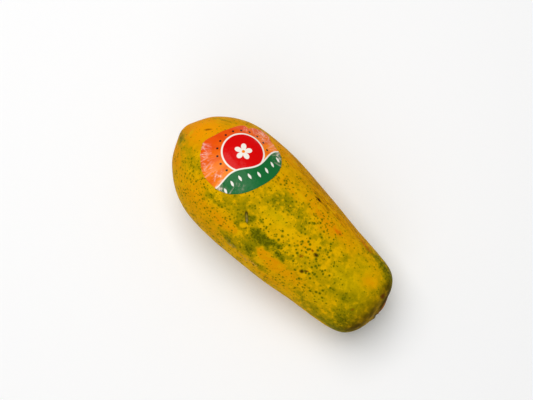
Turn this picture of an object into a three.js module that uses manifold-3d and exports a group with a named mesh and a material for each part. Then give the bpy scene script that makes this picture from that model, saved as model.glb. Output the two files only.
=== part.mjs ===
// A ripe papaya of the long kind, lying on its side, with an oval film label stuck to its shoulder.
// Millimetres, +Z up. +X runs from the blossom tip to the stem end, and the fruit rests at Z = 0.
import * as THREE from "three";
import { mergeVertices } from "three/addons/utils/BufferGeometryUtils.js";
import Module from "manifold-3d";

// The fruit's outline: distance from the blossom tip along its axis, then radius.
const outline = [
  [0, 0], // blossom tip, a blunt nub
  [0.7, 5.2],
  [3.2, 10.6],
  [7.0, 18.4],
  [12.2, 27.0],
  [20.6, 35.2],
  [33, 44.0],
  [48, 50.6],
  [64, 53.6],
  [83, 54.4], // widest, a third of the way along
  [105, 53.5],
  [128, 51.8],
  [150, 49.5],
  [172, 46.5],
  [195, 44.2],
  [214, 41.5],
  [227, 39.1],
  [235.8, 35.6],
  [241.2, 30.4],
  [244.6, 24.6],
  [246.9, 18.0],
  [248.4, 10.6],
  [249.2, 4.4],
  [249.4, 0], // middle of the stem end
];
const fruit = {
  length: 250, // with the stalk's stub
  flattening: 0.97, // height over width of a slice
  bow: 3.2, // how far the two ends bend away to +Y
  bowMiddle: 108, // where along the fruit the bend turns
  lean: 4.25, // degrees that the axis falls towards the thin stem end, as the fruit lies
  flatSpot: 0.6, // how deep the skin is pressed flat where it rests
  endSkew: 0.06, // the stem end falls back by this share of the distance across, to +Y
  skewFrom: 190, // where along the fruit that begins
  around: 72, // facets round a slice
  along: 60, // facets from tip to stem end
  endCrowding: 0.45, // 0 spaces the slices evenly, nearer 1 crowds them at both ends
};

// Five soft ribs, one for each carpel, faint on the belly and plain on the shoulders of the stem end.
const ribs = {
  count: 5,
  crest: 56, // degrees from the top of the fruit to the first crest, towards +Y
  belly: 0.005, // height over radius
  shoulder: 0.02,
  start: 120, // where along the fruit they begin to grow
  full: 228,
};

// Slow swells and hollows of the skin: height in mm, waves round the fruit, waves along it, phase.
const swells = [
  { height: 0.3, round: 2, along: 1.5, phase: 0.6 },
  { height: 0.25, round: 3, along: 2.6, phase: 2.1 },
  { height: 0.2, round: 4, along: 4.2, phase: 4.4 },
];
const swellFade = 20; // they fade where the fruit's radius is less than this

// The cut stalk: a low woody stub, off the axis and facing a little to the side and up.
const stub = {
  radius: 9.4,
  rootRadius: 11.2,
  height: 9, // most of it is sunk in the fruit
  centre: [248.6, 10, 4.5], // middle of the cut face: along, across, up from the axis
  turn: 13, // degrees that the cut face looks to +Y
  sides: 22,
  seatDepth: 1.8, // the skin dips round its root
  seatRadius: 15,
};

// The label is laid on the skin, so its sizes are measured along the surface.
const label = {
  along: 60.7, // distance from the blossom tip to its middle
  around: 18, // degrees from the top of the fruit to its middle, towards +Y
  turn: 17, // degrees that its long axis is turned from straight round the fruit, towards the stem end
  halfLength: 32.5, // along the fruit
  halfWidth: 38.6, // round the fruit
  squareness: 2.35, // 2 is an ellipse
  thickness: 0.6,
  gap: 0.2, // clear of the skin's facets
  pleats: { count: 9, height: 0.5, spread: 62, reach: 0.4 }, // puckers, within 62 degrees of the tip's side
  sides: 80,
  rings: 20, // from the middle of one face, over the rim, to the middle of the other
  rimFrom: 0.45, // share of the rings before the rim's wall
};

// Puckers push the label's rim out or draw it in: degrees round the label, mm outwards, width in degrees.
const kinks = [
  { at: 89, out: -1.3, width: 12 },
  { at: 110, out: 3.6, width: 10 },
  { at: 138, out: -5, width: 5 }, // a fold that takes a notch out of the rim
  { at: 167, out: -1.6, width: 16 },
  { at: 208, out: 2.8, width: 9 }, // a corner
  { at: 242, out: -1.8, width: 14 },
];

const weldDistance = 1e-4;
const groundSize = 400; // side of the block that presses the skin flat

const origin = new THREE.Vector2();
const toRadians = THREE.MathUtils.degToRad;
const profile = new THREE.SplineCurve(outline.map(([s, r]) => new THREE.Vector2(s, r)));
profile.arcLengthDivisions = 800;
const profileLength = profile.getLength();

// The share of the outline's length at which it is s mm from the blossom tip.
function profileShareAt(s) {
  let low = 0;
  let high = 1;
  while (high - low > 1e-6) {
    const half = (low + high) / 2;
    if (profile.getPointAt(half).x < s) low = half;
    else high = half;
  }
  return low;
}

function ribHeight(s) {
  const grown = THREE.MathUtils.smoothstep(s, ribs.start, ribs.full);
  return THREE.MathUtils.lerp(ribs.belly, ribs.shoulder, grown);
}

function swellHeight(s, angle) {
  const fade = Math.sin((Math.PI * s) / fruit.length); // none at the two ends
  return swells.reduce((sum, w) => {
    const wave = Math.sin(w.round * angle + (2 * Math.PI * w.along * s) / fruit.length + w.phase);
    return sum + w.height * fade * wave;
  }, 0);
}

// A point of the skin: share of the outline's own length, then the angle from the top towards +Y.
function skinPoint(share, angle) {
  const { x: s, y: r } = profile.getPointAt(THREE.MathUtils.clamp(share, 0, 1));
  const ribbed = r * (1 + ribHeight(s) * Math.cos(ribs.count * (angle - toRadians(ribs.crest))));
  const radius = ribbed + swellHeight(s, angle) * Math.min(1, r / swellFade);
  const bow = fruit.bow * ((s - fruit.bowMiddle) / (fruit.length - fruit.bowMiddle)) ** 2;
  const across = bow + radius * Math.sin(angle);
  const up = radius * Math.cos(angle) * fruit.flattening;
  const atEnd = THREE.MathUtils.smoothstep(s, fruit.skewFrom, fruit.length);
  const fromStub = Math.hypot(across - stub.centre[1], up - stub.centre[2]);
  const seat = stub.seatDepth * Math.exp(-((fromStub / stub.seatRadius) ** 2));
  return new THREE.Vector3(s - atEnd * (fruit.endSkew * across + seat), across, up);
}

function skinNormal(share, angle) {
  const step = 1e-3; // in share and in radians
  const alongStep = skinPoint(share + step, angle).sub(skinPoint(share - step, angle));
  const aroundStep = skinPoint(share, angle + step).sub(skinPoint(share, angle - step));
  return alongStep.cross(aroundStep).normalize();
}

// A sphere whose vertices are moved to place(u, v): u runs once around, v from pole to pole.
function wrappedSphere(around, along, place) {
  const geometry = new THREE.SphereGeometry(1, around, along);
  const { position, uv } = geometry.attributes;
  for (let i = 0; i < position.count; i++) {
    const row = Math.floor(i / (around + 1));
    const onPole = row === 0 || row === along;
    const p = place(onPole ? 0 : uv.getX(i), 1 - uv.getY(i));
    position.setXYZ(i, p.x, p.y, p.z);
  }
  return weld(geometry);
}

function bodyGeometry() {
  return wrappedSphere(fruit.around, fruit.along, (u, v) => {
    const share = v - (fruit.endCrowding * Math.sin(2 * Math.PI * v)) / (2 * Math.PI);
    return skinPoint(share, 2 * Math.PI * u);
  });
}

function stubGeometry() {
  const geometry = new THREE.CylinderGeometry(stub.radius, stub.rootRadius, stub.height, stub.sides);
  geometry.translate(0, -stub.height / 2, 0); // its cut face is at the origin
  geometry.rotateZ(-Math.PI / 2); // and looks along +X
  geometry.rotateZ(toRadians(stub.turn));
  geometry.translate(...stub.centre);
  return geometry;
}

// The rim's distance from the label's middle, as a share of its half sizes.
function labelRim(angle) {
  const n = label.squareness;
  return (Math.abs(Math.cos(angle)) ** n + Math.abs(Math.sin(angle)) ** n) ** (-1 / n);
}

// How far the puckers move the rim at this angle.
function kinkAt(angle) {
  return kinks.reduce((sum, kink) => {
    const off = (angle - toRadians(kink.at)) / toRadians(kink.width);
    return sum + kink.out * Math.exp(-off * off);
  }, 0);
}

// A point of the flat label, along the fruit and round it: reach is 0 in its middle and 1 on its rim.
function labelPoint(angle, reach) {
  const drawn = kinkAt(angle) * reach ** 4;
  const half = new THREE.Vector2(label.halfLength, label.halfWidth).addScalar(drawn);
  return new THREE.Vector2(Math.cos(angle), Math.sin(angle))
    .multiply(half)
    .multiplyScalar(reach * labelRim(angle))
    .rotateAround(origin, -toRadians(label.turn));
}

// How far the film stands off the skin in the puckers near its rim.
function pucker(angle, reach) {
  const { count, height, spread, reach: depth } = label.pleats;
  const off = (angle - Math.PI) / toRadians(spread); // -1 to 1 across the puckered stretch
  const side = Math.max(0, 1 - off * off);
  const outward = THREE.MathUtils.smoothstep(reach, 1 - depth, 1);
  return height * side * outward * (0.5 + 0.5 * Math.cos(Math.PI * count * off));
}

function labelGeometry() {
  const middle = profileShareAt(label.along);
  return wrappedSphere(label.sides, label.rings, (u, v) => {
    const angle = 2 * Math.PI * u;
    const outer = v <= 0.5;
    const reach = Math.min(1, (outer ? v : 1 - v) / label.rimFrom);
    const rise = THREE.MathUtils.clamp((1 - label.rimFrom - v) / (1 - 2 * label.rimFrom), 0, 1);
    const flat = labelPoint(angle, reach);
    const share = middle + flat.x / profileLength;
    const turn = toRadians(label.around) + flat.y / profile.getPointAt(share).y;
    const lift = label.gap + label.thickness * rise + pucker(angle, reach);
    return skinPoint(share, turn).addScaledVector(skinNormal(share, turn), lift);
  });
}

// The geometry without its seams, in which every vertex is shared.
function weld(geometry) {
  const plain = geometry.clone();
  plain.deleteAttribute("normal");
  plain.deleteAttribute("uv");
  return mergeVertices(plain, weldDistance);
}

const wasm = await Module();
wasm.setup();

function solidOf(geometry) {
  const merged = weld(geometry);
  return new wasm.Manifold(
    new wasm.Mesh({
      numProp: 3,
      vertProperties: merged.attributes.position.array,
      triVerts: new Uint32Array(merged.index.array),
    }),
  );
}

function geometryOf(solid) {
  const mesh = solid.getMesh();
  const geometry = new THREE.BufferGeometry();
  geometry.setAttribute("position", new THREE.BufferAttribute(mesh.vertProperties, 3));
  geometry.setIndex(new THREE.BufferAttribute(mesh.triVerts, 1));
  geometry.computeVertexNormals();
  return geometry;
}

// Lays the fruit down: its axis leans by fruit.lean, and its lowest skin is level with the ground.
const lie = new THREE.Matrix4().makeRotationY(toRadians(fruit.lean));
const grown = solidOf(bodyGeometry()).add(solidOf(stubGeometry()));
const lying = geometryOf(grown).applyMatrix4(lie);
lying.computeBoundingBox();
const { min, max } = lying.boundingBox;
const place = new THREE.Matrix4().makeTranslation(
  -(min.x + max.x) / 2,
  -(min.y + max.y) / 2,
  -min.z - fruit.flatSpot,
);
lying.applyMatrix4(place);

// The ground presses the skin flat.
const ground = new THREE.BoxGeometry(groundSize, groundSize, groundSize).translate(0, 0, -groundSize / 2);
const fruitGeometry = geometryOf(solidOf(lying).subtract(solidOf(ground)));
const labelSkin = labelGeometry().applyMatrix4(lie).applyMatrix4(place);
labelSkin.computeVertexNormals();

const skin = new THREE.MeshStandardMaterial({ name: "skin", color: 0xd9a010, roughness: 0.42 });
const film = new THREE.MeshStandardMaterial({ name: "film", color: 0xe8541a, roughness: 0.25 });

function node(name, geometry, material) {
  const mesh = new THREE.Mesh(geometry, material);
  mesh.name = name;
  return mesh;
}

const papaya = new THREE.Group();
papaya.add(node("fruit", fruitGeometry, skin));
papaya.add(node("label", labelSkin, film));

export default papaya;
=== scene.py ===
import math

import bpy
import numpy as np
from mathutils import Matrix, Vector, noise
from mathutils.bvhtree import BVHTree


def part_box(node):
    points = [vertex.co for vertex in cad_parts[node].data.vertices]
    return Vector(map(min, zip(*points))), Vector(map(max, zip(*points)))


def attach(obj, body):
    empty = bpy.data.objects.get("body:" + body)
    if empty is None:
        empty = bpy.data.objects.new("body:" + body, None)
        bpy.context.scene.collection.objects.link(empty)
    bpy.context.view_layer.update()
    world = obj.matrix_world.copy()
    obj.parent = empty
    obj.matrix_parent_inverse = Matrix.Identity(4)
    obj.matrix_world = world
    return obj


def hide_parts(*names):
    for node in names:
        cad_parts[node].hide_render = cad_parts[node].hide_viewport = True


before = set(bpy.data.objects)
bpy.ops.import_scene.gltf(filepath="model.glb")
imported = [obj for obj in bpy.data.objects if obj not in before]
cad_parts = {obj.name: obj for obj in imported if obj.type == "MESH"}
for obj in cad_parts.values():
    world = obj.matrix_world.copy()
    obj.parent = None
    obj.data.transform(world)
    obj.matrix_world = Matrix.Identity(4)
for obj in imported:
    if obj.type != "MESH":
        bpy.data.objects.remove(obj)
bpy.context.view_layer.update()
mm = 0.001
drawApart = 17.3  # from one draw of noise to the next


def addNode(tree, kind, inputs=(), **settings):
    # Adds one shader node and gives its outputs. Its inputs come by name or in their order, and one
    # that is a socket is linked, while any other is set.
    node = tree.nodes.new("ShaderNode" + kind)
    for name, value in settings.items():
        setattr(node, name, value)
    for key, value in inputs.items() if isinstance(inputs, dict) else enumerate(inputs):
        if isinstance(value, bpy.types.NodeSocket):
            tree.links.new(value, node.inputs[key])
        else:
            node.inputs[key].default_value = value
    return node.outputs


def linear(hexColour):
    # sRGB hex to the linear colour that a shader socket takes
    parts = [int(hexColour[i : i + 2], 16) / 255 for i in (1, 3, 5)]
    return [c / 12.92 if c <= 0.04045 else ((c + 0.055) / 1.055) ** 2.4 for c in parts] + [1]


def newMaterial(piece, name):
    # gives a piece a material, and returns its empty node tree
    material = bpy.data.materials.new(name)
    material.use_nodes = True
    material.node_tree.nodes.clear()
    piece.data.materials.append(material)
    return material.node_tree


def layColour(tree, below, above, field, start, full, strength=1, ramp="SMOOTHSTEP", blend="MIX"):
    # lays one colour over another, from nothing where the field is at start to its strength at full
    mask = addNode(tree, "MapRange", [field, start, full, 0.0, strength], interpolation_type=ramp)[0]
    above = linear(above) if isinstance(above, str) else above
    return addNode(tree, "Mix", {0: mask, 6: below, 7: above}, data_type="RGBA", blend_type=blend)[2]


def addShader(tree, colour, finish, height=None, clouds=None):
    # ends a material with its shader, where clouds may vary its roughness
    roughness = finish["roughness"]
    if clouds:
        roughness = addNode(tree, "MapRange", [clouds, 0.0, 1.0, *roughness])[0]
    inputs = {"Base Color": colour, "Roughness": roughness, "Specular IOR Level": finish["specular"]}
    if height:
        relief = {"Height": height, "Distance": finish["depth"] * mm, "Strength": finish["strength"]}
        inputs["Normal"] = addNode(tree, "Bump", relief)[0]
    addNode(tree, "OutputMaterial", [addNode(tree, "BsdfPrincipled", inputs)[0]])


def makeActive(piece=None):
    # leaves only this piece selected, or nothing
    if bpy.context.object and bpy.context.object.mode != "OBJECT":
        bpy.ops.object.mode_set(mode="OBJECT")
    bpy.ops.object.select_all(action="DESELECT")
    if piece:
        piece.select_set(True)
        bpy.context.view_layer.objects.active = piece


def applyModifier(piece, kind, **settings):
    makeActive(piece)
    modifier = piece.modifiers.new(kind.title(), kind)
    for name, value in settings.items():
        setattr(modifier, name, value)
    bpy.ops.object.modifier_apply(modifier=modifier.name)


def editFaces(piece, wanted):
    # goes into edit mode with only the faces selected that wanted says yes to
    makeActive(piece)
    bpy.ops.object.mode_set(mode="EDIT")
    bpy.ops.mesh.select_mode(type="FACE")
    bpy.ops.mesh.select_all(action="DESELECT")
    bpy.ops.object.mode_set(mode="OBJECT")
    for face in piece.data.polygons:
        face.select = wanted(face)
    bpy.ops.object.mode_set(mode="EDIT")


def applyPlace(piece, matrix):
    # puts a piece where the matrix says, and that place into its mesh
    piece.matrix_world = matrix
    makeActive(piece)
    bpy.ops.object.transform_apply(location=True, rotation=True, scale=True)


def readPoints(piece, what="co"):
    # a mesh's points, or its normals, one row each
    rows = np.zeros(len(piece.data.vertices) * 3)
    piece.data.vertices.foreach_get(what, rows)
    return rows.reshape(-1, 3)


def setPoints(piece, points):
    piece.data.vertices.foreach_set("co", np.ascontiguousarray(points).ravel())
    piece.data.update()


def setAttribute(piece, name, values):
    attribute = piece.data.attributes.new(name, "FLOAT", "POINT")
    attribute.data.foreach_set("value", np.asarray(values, np.float32))


def smoothStep(values, low, high):
    share = np.clip((values - low) / (high - low), 0, 1)
    return share * share * (3 - 2 * share)


def noiseAt(points, size, stretch=1, order=0):
    # waves of about size mm, from -1 to 1, drawn out along the fruit where stretch is under 1
    spots = points / (size * mm) * (stretch, 1, 1) + order * drawApart
    return np.array([noise.noise(spot) for spot in spots])


def treeOf(piece):
    return BVHTree.FromObject(piece, bpy.context.evaluated_depsgraph_get())


# A place on the fruit is given as along, the distance from the blossom tip down the fruit's axis in
# millimetres, and around, the degrees from its top towards +Y. The axis falls towards the stem end.
fruitAxis = {
    "lean": 4.25,
    "tipAcross": 0.21,  # the blossom tip's place to +Y
    "tipHeight": 58.91,  # and its height above the surface that the fruit lies on
}
lowFruit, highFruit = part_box("fruit")
tipPlace = Vector((lowFruit.x, fruitAxis["tipAcross"] * mm, fruitAxis["tipHeight"] * mm))
lying = Matrix.Translation(tipPlace) @ Matrix.Rotation(math.radians(fruitAxis["lean"]), 4, "Y")


def ownPoints(points):
    # from the frame in metres to the fruit's own axes in mm: along it, across it and up
    return (np.c_[points, np.ones(len(points))] @ np.array(lying.inverted()).T)[:, :3] / mm


def placesOf(points):
    # along in mm, around in radians, and the distance from the axis in mm
    own = ownPoints(points)
    return own[:, 0], np.arctan2(own[:, 1], own[:, 2]), np.hypot(own[:, 1], own[:, 2])


def awayFrom(places, middle):
    # how far each place is from a middle, in mm along the fruit and round it
    along, around, radius = places
    turn = (around - math.radians(middle[1]) + math.pi) % (2 * math.pi) - math.pi
    return np.array([along - middle[0], turn * radius])


def skinPlace(tree, along, around):
    # the skin's point at a place, its normal there and its distance from the axis
    angle = math.radians(around)
    start = lying @ Vector((along * mm, 0, 0))
    outwards = lying.to_3x3() @ Vector((0, math.sin(angle), math.cos(angle)))
    point, normal, _, distance = tree.ray_cast(start, outwards)
    return point, normal, distance


camera = {
    "azimuth": 43.56,
    "elevation": 82,
    "lens": 85,
    "distance": 1.17,
    "aimHeight": 52 * mm,  # of the point that it looks round
    "moveRight": -11.5 * mm,
    "moveUp": 20.7 * mm,
}


def makeCamera():
    azimuth, elevation = math.radians(camera["azimuth"]), math.radians(camera["elevation"])
    aim = Matrix.Translation((0, 0, camera["aimHeight"]))
    turned = Matrix.Rotation(azimuth, 4, "Z") @ Matrix.Rotation(math.pi / 2 - elevation, 4, "X")
    moved = Matrix.Translation((camera["moveRight"], camera["moveUp"], camera["distance"]))
    data = bpy.data.cameras.new("camera")
    data.lens = camera["lens"]
    made = bpy.data.objects.new("camera", data)
    bpy.context.scene.collection.objects.link(made)
    made.matrix_world = aim @ turned @ moved
    bpy.context.scene.camera = made


studio = {
    "floorSize": 16,
    "floorColour": "#fbfbfb",
    "roughness": 0.9,
    "specular": 0.1,
    "skyStrength": 0.3,
    "aim": (0, 0, 0.05),
    "lamps": [
        # name, place, size, watts
        ("keyLamp", (-0.6, 0.15, 2.0), 1.6, 32),
        ("fillLamp", (0.9, -1.4, 1.5), 1.8, 9),
    ],
}


def makeStudio():
    makeActive()
    bpy.ops.mesh.primitive_plane_add(size=studio["floorSize"])
    floor = bpy.context.object
    floor.name = "floor"
    addShader(newMaterial(floor, "paleBoard"), linear(studio["floorColour"]), studio)

    world = bpy.data.worlds.new("softRoom")
    world.use_nodes = True
    sky = world.node_tree.nodes["Background"].inputs
    sky["Color"].default_value = (1, 1, 1, 1)
    sky["Strength"].default_value = studio["skyStrength"]
    bpy.context.scene.world = world

    for name, place, size, watts in studio["lamps"]:
        data = bpy.data.lights.new(name, "AREA")
        data.size = size
        data.energy = watts
        lamp = bpy.data.objects.new(name, data)
        lamp.location = place
        towards = Vector(studio["aim"]) - Vector(place)
        lamp.rotation_euler = towards.to_track_quat("-Z", "Y").to_euler()
        bpy.context.scene.collection.objects.link(lamp)
    bpy.context.scene.view_settings.view_transform = "Standard"


fruitSkin = {
    "merge": 0.02,  # mm
    "cuts": (15, 7),  # each edge of the cube is cut to 16 and then each of those to 8
    "smoothing": (20, 20, 20, 20, 3),  # rounds after each time that the mesh is laid on the guide
}


def makeGuide(node):
    # a smooth copy of a CAD node, which the fine mesh is laid on
    guide = bpy.data.objects.new("guide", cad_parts[node].data.copy())
    bpy.context.scene.collection.objects.link(guide)
    makeActive(guide)
    bpy.ops.object.mode_set(mode="EDIT")
    bpy.ops.mesh.select_all(action="SELECT")
    bpy.ops.mesh.remove_doubles(threshold=fruitSkin["merge"] * mm)
    bpy.ops.mesh.tris_convert_to_quads()
    bpy.ops.object.mode_set(mode="OBJECT")
    applyModifier(guide, "SUBSURF", levels=2, render_levels=2)
    return guide


def makeSkinMesh(guide):
    makeActive()
    bpy.ops.mesh.primitive_cube_add(size=2)
    skin = bpy.context.object
    skin.name = "papayaSkin"
    bpy.ops.object.mode_set(mode="EDIT")
    for cuts in fruitSkin["cuts"]:
        bpy.ops.mesh.select_all(action="SELECT")
        bpy.ops.mesh.subdivide(number_cuts=cuts)
    bpy.ops.object.mode_set(mode="OBJECT")
    applyModifier(skin, "CAST", cast_type="SPHERE", factor=1, size=1, use_radius_as_size=False)
    centre, half = (lowFruit + highFruit) / 2, (highFruit - lowFruit) / 2
    points = readPoints(skin)
    points /= np.linalg.norm(points, axis=1)[:, None]
    setPoints(skin, points * np.array(half) + np.array(centre))
    for rounds in fruitSkin["smoothing"]:
        applyModifier(skin, "SHRINKWRAP", target=guide, wrap_method="NEAREST_SURFACEPOINT")
        applyModifier(skin, "SMOOTH", factor=0.5, iterations=rounds)
    return skin


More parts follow.
